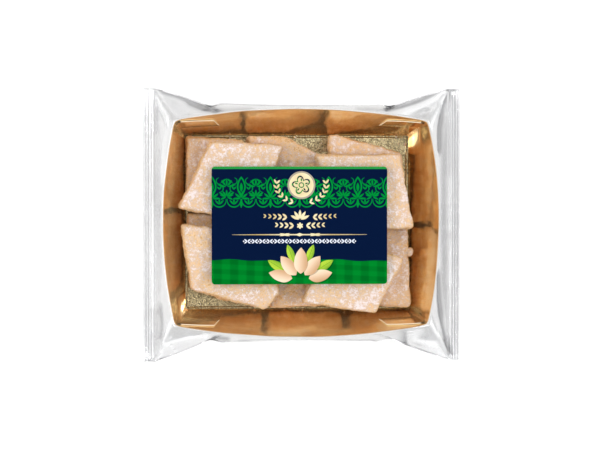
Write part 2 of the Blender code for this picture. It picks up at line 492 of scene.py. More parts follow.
# Each biscuit: its layer, how much sugar its top carries, its tilt in degrees about X and Y, and the corners
# of its outline in millimetres
BISCUITS = {
    "lower_far_left": (LOWER, 0.78, (0.0, 0.0), [(-65.4, 50.0), (-33.0, 47.6), (-35.2, 8.8), (-66.0, 9.2)]),
    "lower_far_middle": (
        LOWER, 0.62, (0.0, 0.0), [(-30.7, 50.2), (-9.4, 50.0), (13.2, 38.0), (9.1, 9.5), (-31.0, 11.2)]
    ),
    "lower_far_right": (
        LOWER, 0.75, (0.0, 0.0), [(15.1, 50.8), (19.8, 50.9), (56.9, 40.8), (60.4, 1.2), (17.4, 6.1)]
    ),
    "lower_near_left": (
        LOWER, 0.6, (0.0, 0.0), [(-65.2, 6.6), (-26.1, 6.1), (-21.6, -46.2), (-46.0, -42.4), (-64.0, -33.0)]
    ),
    "lower_near_middle": (
        LOWER, 0.52, (0.0, 0.0), [(-19.3, -6.0), (14.8, -5.0), (23.6, -46.0), (-18.2, -47.2)]
    ),
    "lower_near_right": (
        LOWER, 0.74, (0.0, 0.0), [(20.8, -4.4), (60.4, -1.5), (62.4, -47.2), (28.6, -45.5)]
    ),
    "upper_far_left": (UPPER, 0.8, (0.0, 1.0), [(-52.6, 47.2), (-11.1, 44.9), (-29.2, 2.5), (-71.0, 9.7)]),
    "upper_far_right": (UPPER, 0.8, (0.0, -0.8), [(6.9, 39.5), (54.6, 40.1), (62.5, -1.6), (16.2, -5.1)]),
    "upper_near_left": (
        UPPER, 0.68, (0.5, 0.5), [(-69.0, 0.6), (-20.9, -4.1), (-13.4, -38.0), (-22.4, -47.3), (-63.6, -36.0)]
    ),
    "upper_near_right": (
        UPPER, 0.78, (0.6, 0.0), [(14.2, -8.8), (56.5, -18.8), (40.7, -50.1), (-1.0, -43.4)]
    ),
    "broken_corner": (BROKEN, 0.9, (0.0, 4.0), [(58.6, -12.8), (63.2, -13.4), (63.4, -18.6), (58.8, -19.4)]),
}

DOUGH = (0.82, 0.56, 0.31)
DOUGH_PALE = (0.84, 0.61, 0.37)
DOUGH_DARK = (0.62, 0.37, 0.17)
SUGARED = (0.66, 0.465, 0.32)
SUGAR_WHITE = (0.81, 0.71, 0.69)
SPECKLE_SIZE, SPECKLE_WEIGHT = 0.8 * MM, 2.0
DUST_SIZE, DUST_WEIGHT = 3.2 * MM, 1.7
BLOTCH_SIZE = 8.0 * MM
CRUST_RELIEF = 0.35 * MM

# The cover at which one colour of the crust gives way to the next
DARK_TO_BARE = (-0.1, 0.25)
BARE_TO_DUSTED = (0.15, 0.55)
DUSTED_TO_WHITE = (0.52, 1.15)

crust = Finish("sugared_almond_crust")
sugar_cover = crust.add("Attribute", {"attribute_name": "sugar"}, output="Fac")
speckle = crust.grain(SPECKLE_SIZE, detail=3.0, roughness=0.6)
dust = crust.grain(DUST_SIZE, detail=4.0, roughness=0.6)
blotch = crust.grain(BLOTCH_SIZE, detail=3.0)
cover = sugar_cover + SPECKLE_WEIGHT * (speckle - 0.5) + DUST_WEIGHT * (dust - 0.5)
bare = blotch.rise(0.3, 0.7).blend(DOUGH, DOUGH_PALE)
bare = cover.rise(*DARK_TO_BARE).blend(DOUGH_DARK, bare)
dusted = cover.rise(*BARE_TO_DUSTED).blend(bare, SUGARED)
crust.surface(
    Base_Color=cover.rise(*DUSTED_TO_WHITE).blend(dusted, SUGAR_WHITE),
    Roughness=0.9,
    Specular_IOR_Level=0.3,
    Subsurface_Weight=0.1,
    Subsurface_Radius=(1.0, 0.6, 0.35),
    Subsurface_Scale=1.2 * MM,
    Normal=crust.bump(speckle + 0.6 * dust, CRUST_RELIEF),
)


def keep_values(piece, name, values):
    """Gives each point of a piece a number that the piece's finish reads."""
    attribute = piece.data.attributes.new(name, "FLOAT", "POINT")
    attribute.data.foreach_set("value", values)


def crumble(piece, seed, sugar):
    """Pushes the smooth rhomb's points in and out into lumps, dimples and crumbs, and heaps up its sugar."""
    shift = Vector((seed * 7.3, seed * 3.1, seed * 5.7))
    points = piece.data.vertices
    cover = []
    moved = []
    for point in points:
        place, normal = point.co, point.normal
        lumps = noise.noise(place / LUMP_SIZE + shift)
        dimples = noise.noise(place / DIMPLE_SIZE + shift * 2)
        crumbs = noise.noise(place / CRUMB_SIZE + shift * 3)
        flats = mix(1.0, TOP_LUMPS, abs(normal.z))
        depth = LUMP_DEPTH * lumps * flats + DIMPLE_DEPTH * dimples + CRUMB_DEPTH * crumbs
        clumps = noise.noise(place / CLUMP_SIZE + shift * 4)
        clumps += PATCH_SHARE * noise.noise(place / PATCH_SIZE + shift * 5)
        facing = min(1.0, max(0.0, (normal.z - TOP_FROM) / TOP_SPAN))
        heaped = CLUMPING * clumps + sugar * mix(SIDE_SUGAR, 1.0, facing) - SUGAR_LOST
        heaped = min(1.0, max(0.0, heaped))
        cover.append(heaped)
        moved.append(place + normal * (depth + CLUMP_RISE * heaped * heaped))
    for point, place in zip(points, moved):
        point.co = place
    keep_values(piece, "sugar", cover)


def new_biscuit(name, seed, layer, sugar, tilt, corners):
    """A flat outline, pulled up to its thickness, rounded, rebuilt in small squares, and crumbled."""
    floor, thickness = layer
    deselect()
    bpy.ops.mesh.primitive_circle_add(vertices=len(corners), radius=1.0, fill_type="NGON")
    piece = bpy.context.object
    piece.name = f"biscuit_{name}"
    middle = Vector([sum(axis) / len(corners) for axis in zip(*corners)]) * MM
    for point, (x, y) in zip(piece.data.vertices, corners):
        point.co = (x * MM - middle.x, y * MM - middle.y, 0.0)
    bpy.ops.object.mode_set(mode="EDIT")
    bpy.ops.mesh.select_all(action="SELECT")
    bpy.ops.mesh.extrude_region_move(TRANSFORM_OT_translate={"value": (0.0, 0.0, thickness)})
    bpy.ops.mesh.select_all(action="SELECT")
    bpy.ops.mesh.normals_make_consistent(inside=False)
    bpy.ops.mesh.bevel(offset=EDGE_ROUNDING, segments=4, profile=0.5, affect="EDGES")
    bpy.ops.object.mode_set(mode="OBJECT")
    apply_modifier(piece, "REMESH", mode="VOXEL", voxel_size=BISCUIT_VOXEL)
    apply_modifier(piece, "SMOOTH", factor=0.5, iterations=6)
    crumble(piece, seed, sugar)
    turn = Euler((math.radians(tilt[0]), math.radians(tilt[1]), 0.0)).to_matrix()
    for point in piece.data.vertices:
        point.co = turn @ point.co + Vector((middle.x, middle.y, floor))
    shade(piece, ALL_ROUND)
    wear(piece, crust)
    belongs(piece, "biscuit", "bag")


for seed, (name, (layer, sugar, tilt, corners)) in enumerate(BISCUITS.items(), start=1):
    new_biscuit(name, seed, layer, sugar, tilt, corners)

# Loose crumbs
# Bits that broke off the biscuits and rolled to the foot of the walls, dusted with the same sugar.

CRUMB_COUNT = 46
CRUMB_SMALLEST, CRUMB_LARGEST = 0.3 * MM, 0.8 * MM
CRUMB_BAND = 5.0 * MM
CRUMB_SINK = 0.62
CRUMB_FLATNESS = 0.7
CRUMB_UNEVENNESS = 0.45
CRUMB_SUGAR = 0.7

random.seed(41)
deselect()
bpy.ops.mesh.primitive_ico_sphere_add(subdivisions=2, radius=1.0)
crumbs = bpy.context.object
crumbs.name = "loose_crumbs"
one_crumb = [point.co.copy() for point in crumbs.data.vertices]
one_crumb_faces = [list(face.vertices) for face in crumbs.data.polygons]
all_points, all_faces = [], []
for number in range(CRUMB_COUNT):
    radius = random.uniform(CRUMB_SMALLEST, CRUMB_LARGEST) * random.uniform(0.5, 1.0)
    along, inward = random.uniform(-0.97, 0.97), random.uniform(0.5 * MM, CRUMB_BAND)
    if number % 2:
        x, y = random.choice((-1, 1)) * (BASE_X - inward), along * BASE_Y
    else:
        x, y = along * BASE_X, random.choice((-1, 1)) * (BASE_Y - inward)
    middle = Vector((x + TRAY_X, y + TRAY_Y, CARD_FLOOR + CRUMB_SINK * radius))
    first = len(all_points)
    for corner in one_crumb:
        swell = 1.0 + CRUMB_UNEVENNESS * noise.noise(corner * 1.7 + Vector((number * 3.0, 0.0, 0.0)))
        flattened = Vector((corner.x, corner.y, CRUMB_FLATNESS * corner.z))
        all_points.append(middle + flattened * radius * swell)
    all_faces += [[first + index for index in face] for face in one_crumb_faces]
crumbs.data.clear_geometry()
crumbs.data.from_pydata(all_points, [], all_faces)
keep_values(crumbs, "sugar", [CRUMB_SUGAR] * len(all_points))
shade(crumbs, ALL_ROUND)
wear(crumbs, crust)
belongs(crumbs, "biscuit", "bag")

# Film bag
# One web of clear film, drawn over the tray as a tube, closed under it by a fin seal, cut and crimped at both
# ends. It is tight over the tray's mouth and creases where the tube flattens into the end seals.

SEAL_X = 90.0 * MM
SEAL_INNER_X = 84.0 * MM
SEAL_Y = 77.3 * MM
SEAL_HEIGHT = 15.0 * MM
SEAL_GAP = 0.45 * MM
CRIMP_PITCH = 1.5 * MM
CRIMP_DEPTH = 0.24 * MM
CRIMP_FADE_RATE = 70.0
CRIMP_PAINTED_LIGHT = 0.3
FILM_BASE_X = 64.5 * MM
FILM_BASE_Y = 50.7 * MM
FILM_RIM_X = 71.6 * MM
FILM_RIM_Y = 57.7 * MM
FILM_BOW_X = 6.6 * MM
FILM_BOW_Y = 6.7 * MM
FILM_TOP = 32.0 * MM
FILM_FLOOR = 0.25 * MM
FOLD_MID = 66.3 * MM
FOLD_SPREAD = 1.0 * MM
FOLD_SHOULDER = 43.0 * MM
SHOULDER_FALL = 43.0
NOTCH_X = 50.0 * MM
NOTCH_Y = 65.2 * MM
GUSSET_SWELL = 0.2
FOLD_EDGE = 0.5 * MM
FOLD_HEIGHT_MID = 28.5 * MM
FOLD_HEIGHT_NOTCH = 24.5 * MM
FILM_FLAT_RINGS = 18
FILM_PANEL_RINGS = 38
FILM_SEAL_RINGS = 32
FILM_RINGS = FILM_FLAT_RINGS + FILM_PANEL_RINGS + FILM_SEAL_RINGS
FILM_CREASE = 24
FILM_LOWEST = 0.1 * MM


def film_height(x, y):
    """Height of the film over the tray's mouth, which rises to the rim's corners."""
    return FILM_TOP + RIM_CORNER_RISE * ((x - TRAY_X) / FILM_RIM_X) ** 2 * ((y - TRAY_Y) / FILM_RIM_Y) ** 2


def flare_share(x):
    """0 at the notch, 1 at the seal, and below 0 over the tray."""
    end = math.copysign(1.0, x - TRAY_X)
    return min(1.0, (abs(x - TRAY_X) - NOTCH_X) / (SEAL_INNER_X - end * TRAY_X - NOTCH_X))


def fold_line(x, side):
    """How far out the side fold lies: round the full tray, then out to the corner of the end seal."""
    from_tray = abs(x - TRAY_X)
    tube = FOLD_MID + FOLD_SPREAD * (from_tray / FOLD_SHOULDER) ** 2
    tube -= SHOULDER_FALL * max(0.0, from_tray - FOLD_SHOULDER) ** 2
    flare = flare_share(x)
    gusset = mix(NOTCH_Y, SEAL_Y, flare * (1.0 + GUSSET_SWELL * (1.0 - flare)))
    return side * min(SEAL_Y, max(tube, gusset)) + TRAY_Y * (1.0 - max(0.0, flare))


def fold_height(x):
    """Height of the side fold: high up the tray's wall, then down to the end seal."""
    flare = flare_share(x)
    if flare < 0.0:
        return mix(FOLD_HEIGHT_MID, FOLD_HEIGHT_NOTCH, ((x - TRAY_X) / NOTCH_X) ** 2)
    return mix(FOLD_HEIGHT_NOTCH, SEAL_HEIGHT, flare)


def film_rim(on_end, side, along, share, is_top):
    """A point of the film over the tray's mouth or under its base: 0 is its middle and 1 its edge."""
    if not is_top:
        x = (side if on_end else along) * share * FILM_BASE_X + TRAY_X
        y = (along if on_end else side) * share * FILM_BASE_Y + TRAY_Y
        return Vector((x, y, FILM_FLOOR))
    if on_end:
        x, y = side * (FILM_RIM_X + FILM_BOW_X * bow(along)), FILM_RIM_Y * along
    else:
        x, y = FILM_RIM_X * along, side * (FILM_RIM_Y + FILM_BOW_Y * bow(along))
    x, y = x * share + TRAY_X, y * share + TRAY_Y
    return Vector((x, y, film_height(x, y)))


def film_place(u, v, is_top):
    """One point of the top or bottom web, before it is creased."""
    ring = max(abs(u), abs(v)) * FILM_RINGS
    on_end, side, along = square_place(u, v)
    if ring <= FILM_FLAT_RINGS:
        return film_rim(on_end, side, along, ring / FILM_FLAT_RINGS, is_top)
    start = film_rim(on_end, side, along, 1.0, is_top)
    lift = SEAL_GAP / 2 if is_top else -SEAL_GAP / 2
    if on_end:
        fold = Vector((side * SEAL_INNER_X, (SEAL_Y - FOLD_EDGE) * along, SEAL_HEIGHT + lift))
        rim = Vector((side * SEAL_X, SEAL_Y * along, SEAL_HEIGHT + lift))
    else:
        x = SEAL_INNER_X * along
        fold = Vector((x, fold_line(x, side) - side * FOLD_EDGE, fold_height(x) + lift))
        x = SEAL_X * along
        rim = Vector((x, fold_line(x, side), fold_height(x) + lift))
    if ring <= FILM_FLAT_RINGS + FILM_PANEL_RINGS:
        share = (ring - FILM_FLAT_RINGS) / FILM_PANEL_RINGS
        return start.lerp(fold, share)
    place = fold.lerp(rim, (ring - FILM_FLAT_RINGS - FILM_PANEL_RINGS) / FILM_SEAL_RINGS)
    if on_end:
        fade = min(1.0, (1.0 - abs(along)) * CRIMP_FADE_RATE)
        turns = (abs(place.x) - SEAL_INNER_X) / CRIMP_PITCH
        place.z += fade * CRIMP_DEPTH * math.sin(2 * math.pi * turns)
    return place


# Each fold of the top web: its route in plan in millimetres, its reach to the left and to the right of it,
# how much painted highlight it puts on the film, or painted shade below 0, and how many millimetres it stands
# up
FOLDS = [
    ([(-83.9, 75.7), (-82.0, 70.7), (-79.9, 64.9), (-76.8, 58.6)], 2.2, 1.0, 1.1, 0.8),
    ([(-82.0, 76.2), (-72.4, 73.4), (-64.0, 70.0), (-55.6, 66.0)], 1.5, 1.5, -0.9, -0.4),
    ([(-64.0, 68.6), (-55.6, 65.4), (-50.0, 64.6)], 2.4, 2.4, -0.7, -0.5),
    ([(-79.0, 71.5), (-66.0, 63.0)], 3.6, 3.0, -0.25, -0.6),
    ([(-83.0, 66.0), (-83.0, 52.6)], 1.0, 1.2, -0.4, -0.4),
    ([(-76.0, 56.7), (-79.0, 43.0), (-80.1, 26.3)], 1.0, 1.8, 0.45, 0.3),
    ([(81.9, 75.6), (77.6, 68.9), (72.6, 60.4), (70.5, 52.5)], 1.0, 2.6, 1.2, 0.9),
    ([(80.9, 75.4), (68.6, 66.7), (54.8, 61.4)], 1.8, 2.6, 0.7, 0.4),
    ([(81.6, 76.4), (75.1, 74.2), (65.1, 70.2), (54.6, 67.0), (47.6, 65.5)], 1.5, 1.7, -1.0, -0.6),
    ([(69.2, 63.7), (67.0, 60.3)], 1.0, 1.4, -0.6, -0.3),
    ([(82.6, 74.0), (79.8, 66.2), (76.8, 54.8), (76.6, 42.4)], 2.4, 1.1, -0.9, -0.5),
    ([(79.0, 60.0), (80.6, 20.0), (80.6, -20.0), (79.0, -50.0)], 3.4, 3.4, -0.5, -0.3),
    ([(83.6, 76.0), (83.5, 42.5), (83.5, 5.5), (84.0, -42.7), (84.4, -62.6)], 0.4, 0.5, 0.8, 0.1),
    ([(83.2, 26.0), (83.2, -2.0)], 2.0, 1.4, 0.6, 0.3),
    ([(87.4, 74.0), (87.4, -74.0)], 2.8, 2.6, -0.36, 0.0),
    ([(83.4, -9.0), (83.4, -34.0)], 1.6, 1.2, 0.35, 0.3),
    ([(-83.9, -76.2), (-80.9, -71.7), (-77.7, -64.8), (-76.4, -58.9), (-74.5, -53.1)], 1.0, 1.8, 1.2, 0.9),
    ([(-76.5, -64.5), (-64.3, -61.8), (-54.7, -61.8)], 2.0, 2.6, 0.9, 0.5),
    ([(-81.6, -46.0), (-80.6, -54.7), (-81.3, -63.8)], 1.5, 1.5, -0.6, -0.5),
    ([(-75.4, -66.8), (-71.8, -72.1)], 0.5, 0.9, 0.8, 0.4),
    ([(-80.8, -75.9), (-69.5, -72.8), (-58.4, -67.6)], 0.8, 0.8, -0.7, -0.3),
    ([(-85.6, 76.0), (-85.6, -60.0)], 0.4, 0.4, 0.7, 0.1),
    ([(-87.4, 76.0), (-87.4, -76.0)], 2.8, 2.6, -0.22, 0.0),
    ([(-83.4, 10.0), (-83.6, -16.0)], 1.0, 1.6, 0.5, 0.3),
    ([(-83.6, -16.0), (-83.4, -46.0)], 1.2, 2.0, 0.65, 0.3),
    ([(84.5, -75.4), (81.2, -70.4), (77.2, -63.8), (70.9, -54.8)], 4.6, 0.7, 1.2, 0.8),
    ([(84.4, -74.0), (82.2, -67.0), (79.3, -56.5), (76.6, -42.2), (76.0, -28.0)], 1.2, 1.8, -1.1, -0.6),
    ([(61.5, -60.0), (62.5, -65.0), (73.0, -66.0)], 3.2, 3.2, 0.8, 0.3),
    ([(58.1, -58.5), (59.2, -68.1)], 0.3, 4.2, -1.2, -0.4),
    ([(62.2, -66.6), (67.1, -68.4)], 1.2, 0.9, -0.9, -0.3),
    ([(60.5, -69.0), (72.2, -73.2), (83.3, -76.4)], 0.7, 0.7, -0.8, -0.3),
    ([(-51.3, -63.4), (-43.4, -64.0)], 1.6, 1.6, -0.9, -0.3),
    ([(-50.0, 64.6), (-30.0, 65.4)], 1.2, 1.2, -0.5, -0.2),
    ([(30.0, 65.6), (46.0, 65.0)], 1.2, 1.2, -0.5, -0.2),
    ([(-36.0, -65.4), (40.0, -65.6)], 0.8, 0.8, -0.5, -0.2),
]
RIPPLE_COUNT = 46
RIPPLE_SPREAD = 70.0
RIPPLE_WIDTHS = (0.8, 1.8)
RIPPLE_REACHES = (1.5, 5.0)
RIPPLE_LIFT = 0.3
RIPPLE_PAST_SEAL = 1.0 * MM
FIN_REACH, FIN_ROWS = 0.995, 6
FIN_EDGE, FIN_WIDTH = -0.5 * MM, 12.0 * MM
FIN_DROP, FIN_THICKNESS = 0.08 * MM, 0.1 * MM
FILM_HAZE, FIN_HAZE = 1.0, 0.08


def beside(points, route):
    """How far each point lies from a route seen from above, and whether it lies to the left of it."""
    nearest = np.full(len(points), 1.0)
    left = np.zeros(len(points), dtype=bool)
    for start, end in zip(route[:-1], route[1:]):
        start, line = np.array(start) * MM, (np.array(end) - np.array(start)) * MM
        offset = points[:, :2] - start
        share = np.clip(offset @ line / (line @ line), 0.0, 1.0)
        away = np.linalg.norm(offset - share[:, None] * line, axis=1)
        is_left = line[0] * offset[:, 1] - line[1] * offset[:, 0] > 0.0
        left = np.where(away < nearest, is_left, left)
        nearest = np.minimum(nearest, away)
    return nearest, left


def ripples(points):
    """Short ripples that run in from the end seals, where the crimping gathered the film."""
    height = np.zeros(len(points))
    for number in range(RIPPLE_COUNT):
        side = -1 if number % 2 else 1
        middle = random.uniform(-RIPPLE_SPREAD, RIPPLE_SPREAD) * MM
        width = random.uniform(*RIPPLE_WIDTHS) * MM
        reach = random.uniform(*RIPPLE_REACHES) * MM
        lift = random.uniform(-RIPPLE_LIFT, RIPPLE_LIFT) * MM
        inward = SEAL_INNER_X - side * points[:, 0]
        across = np.exp(-(((points[:, 1] - middle) / width) ** 2))
        height += lift * across * np.exp(-np.abs(inward) / reach) * (inward > -RIPPLE_PAST_SEAL)
    return height


def fold_film(piece, is_top):
    """Folds a web along its normals and keeps each point's painted highlight, or painted shade below 0, for
    the film's finish.
    """
    count = len(piece.data.vertices)
    points, normals = np.empty(count * 3), np.empty(count * 3)
    piece.data.vertices.foreach_get("co", points)
    piece.data.vertices.foreach_get("normal", normals)
    points, normals = points.reshape(-1, 3), normals.reshape(-1, 3)
    height, painted_light_and_shade = ripples(points), np.zeros(count)
    for route, left_reach, right_reach, painted_light, lift in FOLDS if is_top else []:
        away, is_left = beside(points, route)
        fold = np.exp(-((away / np.where(is_left, left_reach, right_reach) / MM) ** 2))
        height += lift * MM * fold
        painted_light_and_shade += painted_light * fold
    from_seal = SEAL_INNER_X - np.abs(points[:, 0])
    crimp = np.sin(2 * np.pi * from_seal / CRIMP_PITCH) * (from_seal < 0.0)
    # The crimping gets painted highlight and painted shade in stripes, one pair to each crimp
    painted_light_and_shade += CRIMP_PAINTED_LIGHT * crimp
    moved = points + normals * (height * np.clip(from_seal / MM + 0.3, 0.0, 1.0))[:, None]
    moved[:, 2] = np.clip(moved[:, 2], FILM_LOWEST, None)
    piece.data.vertices.foreach_set("co", moved.ravel())
    keep_values(piece, "painted_light_and_shade", painted_light_and_shade)
    keep_values(piece, "hazy", np.full(count, FILM_HAZE))


def fin_place(u, v):
    """The fin seal: a strip laid flat under the middle of the bottom web, from one end seal to the other."""
    on_web = film_place(u * FIN_REACH, 0.0, False)
    return Vector((on_web.x, FIN_EDGE + FIN_WIDTH * (v + 1) / 2, on_web.z - FIN_DROP))


random.seed(17)
webs = []
for is_top in (True, False):
    web = new_grid("film_bag", 2 * FILM_RINGS, 2 * FILM_RINGS, lambda u, v: film_place(u, v, is_top))
    # The bottom web's outer face looks down
    if not is_top:
        turn_over(web)
    fold_film(web, is_top)
    webs.append(web)
deselect()
film = webs[0]
for web in webs:
    web.select_set(True)
bpy.context.view_layer.objects.active = film
bpy.ops.object.join()
bpy.ops.object.mode_set(mode="EDIT")
bpy.ops.mesh.select_all(action="DESELECT")
bpy.ops.mesh.select_non_manifold(extend=False)
bpy.ops.mesh.bridge_edge_loops()
bpy.ops.object.mode_set(mode="OBJECT")
shade(film, FILM_CREASE)

# The film's skin: its milk, the painted shade of its creases and the painted highlight of its ridges
FILM_PAINTED_SHADE = (0.16, 0.16, 0.17)
FILM_MILK = (0.76, 0.76, 0.77)
FILM_PAINTED_HIGHLIGHT = (0.98, 0.98, 0.98)
FILM_CLEAR = (0.985, 0.985, 0.985, 1.0)
FILM_EDGE_SOFTNESS = 0.8
STREAK_SIZE = 24.0 * MM
CRINKLE_SIZE, CRINKLE_DEPTH = 16.0 * MM, 0.35 * MM

# How much each of these hides what lies behind the film, where 1 is all of it. The highlight and shade hazes
# go with the folds' painted highlight and painted shade.
LOOSE_HAZE, STREAK_HAZE, HIGHLIGHT_HAZE, SHADE_HAZE = 0.33, 0.08, 0.36, 0.2
SEAL_HAZE = 0.1
GLANCE, LOOSE_GLANCE = 0.5, 0.3

clear = Finish("clear_film")
x_mm, y_mm = clear.axes()[:2]
from_tray_x = abs(x_mm - TRAY_X / MM)
from_tray_y = abs(y_mm - TRAY_Y / MM)
in_seal = abs(x_mm).rise(SEAL_INNER_X / MM - 0.4, SEAL_INNER_X / MM + 0.2)


def past_rim(outward, along, rim, bowed, corner):
    """1 on the loose film past the tray's bowed rim, on its ends or on its sides."""
    edge = rim / MM + bowed / MM * (1.0 - (along / (corner / MM)) ** 2.0)
    return (outward - edge).rise(-FILM_EDGE_SOFTNESS, FILM_EDGE_SOFTNESS)


past_end = past_rim(from_tray_x, from_tray_y, FILM_RIM_X, FILM_BOW_X, FILM_RIM_Y)
past_side = past_rim(from_tray_y, from_tray_x, FILM_RIM_Y, FILM_BOW_Y, FILM_RIM_X)
loose = past_end.most(past_side)
streaks = clear.grain(STREAK_SIZE, detail=2.0, stretch=(2.2, 0.7, 1.0))
# Painted highlight, and painted shade below 0, along the film's folds and crimping
painted_light_and_shade = clear.add("Attribute", {"attribute_name": "painted_light_and_shade"}, output="Fac")
painted_light = painted_light_and_shade.most(0.0).least(1.0)
painted_shade = (-painted_light_and_shade).most(0.0).least(1.0)
hazy = clear.add("Attribute", {"attribute_name": "hazy"}, output="Fac")
milky = LOOSE_HAZE + STREAK_HAZE * streaks.rise(0.3, 0.7) + HIGHLIGHT_HAZE * painted_light + SHADE_HAZE * painted_shade
haze = hazy * (loose * milky + SEAL_HAZE * in_seal)
crinkle = clear.grain(CRINKLE_SIZE, detail=2.0, roughness=0.4)
gloss_bump = clear.bump(crinkle * loose, CRINKLE_DEPTH)
facing = clear.add("LayerWeight", values={"Blend": 0.5, "Normal": gloss_bump}, output=1)
film_skin = clear.add(
    "BsdfPrincipled",
    values={
        "Base Color": painted_light.blend(painted_shade.blend(FILM_MILK, FILM_PAINTED_SHADE), FILM_PAINTED_HIGHLIGHT),
        "Metallic": 0.6,
        "Roughness": 0.16,
        "IOR": 1.6,
        "Specular IOR Level": 1.0,
        "Normal": gloss_bump,
    },
)
see_through = clear.add("BsdfTransparent", values={"Color": FILM_CLEAR})
share = (haze + facing**3.0 * (GLANCE + LOOSE_GLANCE * loose)).least(1.0)
clear.show(clear.add("MixShader", values={"Fac": share, 1: see_through, 2: film_skin}))
wear(film, clear)
belongs(film, "clear_film", "bag")

fin = new_grid("film_fin_seal", 2 * FILM_RINGS, FIN_ROWS, fin_place)
keep_values(fin, "hazy", [FIN_HAZE] * len(fin.data.vertices))
apply_modifier(fin, "SOLIDIFY", thickness=FIN_THICKNESS, offset=-1.0)
shade(fin, FILM_CREASE)
wear(fin, clear)
belongs(fin, "clear_film", "bag")

# Paper label
# A die-cut paper sticker on the film over the tray's mouth: a navy field with a green stripe, a green
# ornament border and a gingham cloth band, a blossom and leaves in gold foil, and almonds with their leaves.

NAVY = (0.0018, 0.0075, 0.034)
GREEN = (0.0, 0.235, 0.03)
STRIPE_GREEN = (0.02, 0.26, 0.048)
CLOTH_GREEN = (0.0, 0.195, 0.019)
CLOTH_DARK = (0.0, 0.115, 0.012)
SHADOW_GREEN = (0.0, 0.02, 0.01)
GARLAND_WHITE = (0.72, 0.76, 0.84)
PEWTER = (0.36, 0.31, 0.25)
FOIL_GOLD = (0.58, 0.42, 0.16)
FOIL_PALE = (0.88, 0.78, 0.50)
SOFT = 0.09
STRIPE_Y = 31.6
BORDER_Y, BORDER_HALF = 18.6, 9.0
RULE_Y, RULE_HALF = -5.2, 38.0
GARLAND_Y, GARLAND_HALF = -8.9, 31.8
CLOTH_Y = -19.6

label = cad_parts["label"]
label_low, label_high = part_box("label")
printed = Finish("label_print")
x_mm, y_mm = printed.axes()[:2]
x = x_mm - (label_low.x + label_high.x) / 2 / MM
y = y_mm - (label_low.y + label_high.y) / 2 / MM


def within(distance):
    """1 where a distance in millimetres is below 0, with a thin soft edge."""
    return distance.rise(SOFT, -SOFT)


def length(a, b):
    return (a * a + b * b) ** 0.5


def turned(x, y, middle, degrees):
    """Coordinates from a middle, turned so that the first runs along the given direction."""
    a, b = x - middle[0], y - middle[1]
    c, s = math.cos(math.radians(degrees)), math.sin(math.radians(degrees))
    return a * c + b * s, b * c - a * s


def ring(x, y, middle, radius, width):
    return within(abs(length(x - middle[0], y - middle[1]) - radius) - width / 2)


def lens(x, y, middle, degrees, half_length, half_width):
    """A leaf: pointed at both ends and widest in the middle."""
    a, b = turned(x, y, middle, degrees)
    return within(abs(b) - half_width * (1.0 - (a / half_length) ** 2.0))


def petals(x, y, middle, count, radius, depth, start):
    """A rosette whose outline swings out count times."""
    a, b = x - middle[0], y - middle[1]
    angle = x.math("ARCTAN2", b, a)
    swing = abs((angle * (count / 2.0) + start).sine())
    return within(length(a, b) - radius * (1.0 - depth + depth * swing))


def fan(x, y, middle, directions, reach, half_length, half_width):
    """Leaves that spread from one point, one in each of the given directions."""
    spread = None
    for degrees in directions:
        angle = math.radians(degrees)
        spot = (middle[0] + reach * math.cos(angle), middle[1] + reach * math.sin(angle))
        one = lens(x, y, spot, degrees, half_length, half_width)
        spread = one if spread is None else spread.most(one)
    return spread


def curl(x, y, middle, degrees, radius, width):
    """A crescent that is widest in the given direction, runs thin round both sides and is open behind."""
    a, b = turned(x, y, middle, degrees)
    outer = within(length(a, b) - radius) * within(-0.25 * radius - a)
    return outer - outer * within(length(a + width / 2, b) - (radius - width / 2))


# Border: one cell is mirrored along the band. A group of leaves has its middle, its directions, their reach
# from the middle, and the leaves' half length and half width. A crescent has its middle, direction, radius
# and width.
CELL = 16.4
BORDER_LEAVES = [
    ((0.0, 2.8), (90.0,), 0.0, 2.6, 0.85),
    ((0.0, -3.6), (78.0, 40.0, 2.0), 2.5, 2.1, 0.55),
    ((0.0, -6.2), (90.0,), 0.0, 2.6, 0.75),
    ((4.1, -7.0), (90.0, 48.0, 132.0), 1.9, 1.75, 0.45),
    ((8.2, -2.4), (90.0, 128.0, 166.0, 206.0), 2.1, 1.8, 0.48),
    ((8.2, 3.0), (90.0, 128.0, 168.0), 2.6, 2.1, 0.5),
    ((4.2, 1.6), (60.0, 130.0), 1.0, 1.1, 0.4),
    ((5.4, -0.9), (-32.0,), 0.0, 1.7, 0.45),
    ((6.4, 6.4), (35.0,), 0.0, 1.9, 0.5),
]
BORDER_CRESCENTS = [
    ((4.1, -4.6), -90.0, 4.0, 0.7),
    ((4.3, 2.2), 20.0, 2.3, 0.6),
    ((4.0, 6.3), 200.0, 1.9, 0.5),
]
a = x.folded(CELL)
b = y - BORDER_Y
border = lens(a, b, (0.0, 3.2), 90.0, 5.7, 2.5) - lens(a, b, (0.0, 3.2), 90.0, 4.5, 1.6)
for group in BORDER_LEAVES:
    border = border.most(fan(a, b, *group))
for crescent in BORDER_CRESCENTS:
    border = border.most(curl(a, b, *crescent))
border = border * within(abs(b) - BORDER_HALF)

# A blossom in a disc with a pewter rim
DISC = (1.0, 22.6)
DISC_RADIUS = 6.9
disc = within(length(x - DISC[0], y - DISC[1]) - DISC_RADIUS)
disc_rim = ring(x, y, DISC, DISC_RADIUS + 0.45, 0.9)
blossom = petals(x, y, DISC, 5, 5.4, 0.42, 0.3)
blossom = blossom - petals(x, y, DISC, 5, 4.5, 0.5, 0.3)
blossom = blossom.most(fan(x, y, DISC, (18.0, 90.0, 162.0, 234.0, 306.0), 3.0, 1.0, 0.4))
stamens = ring(x, y, DISC, 1.3, 0.55)

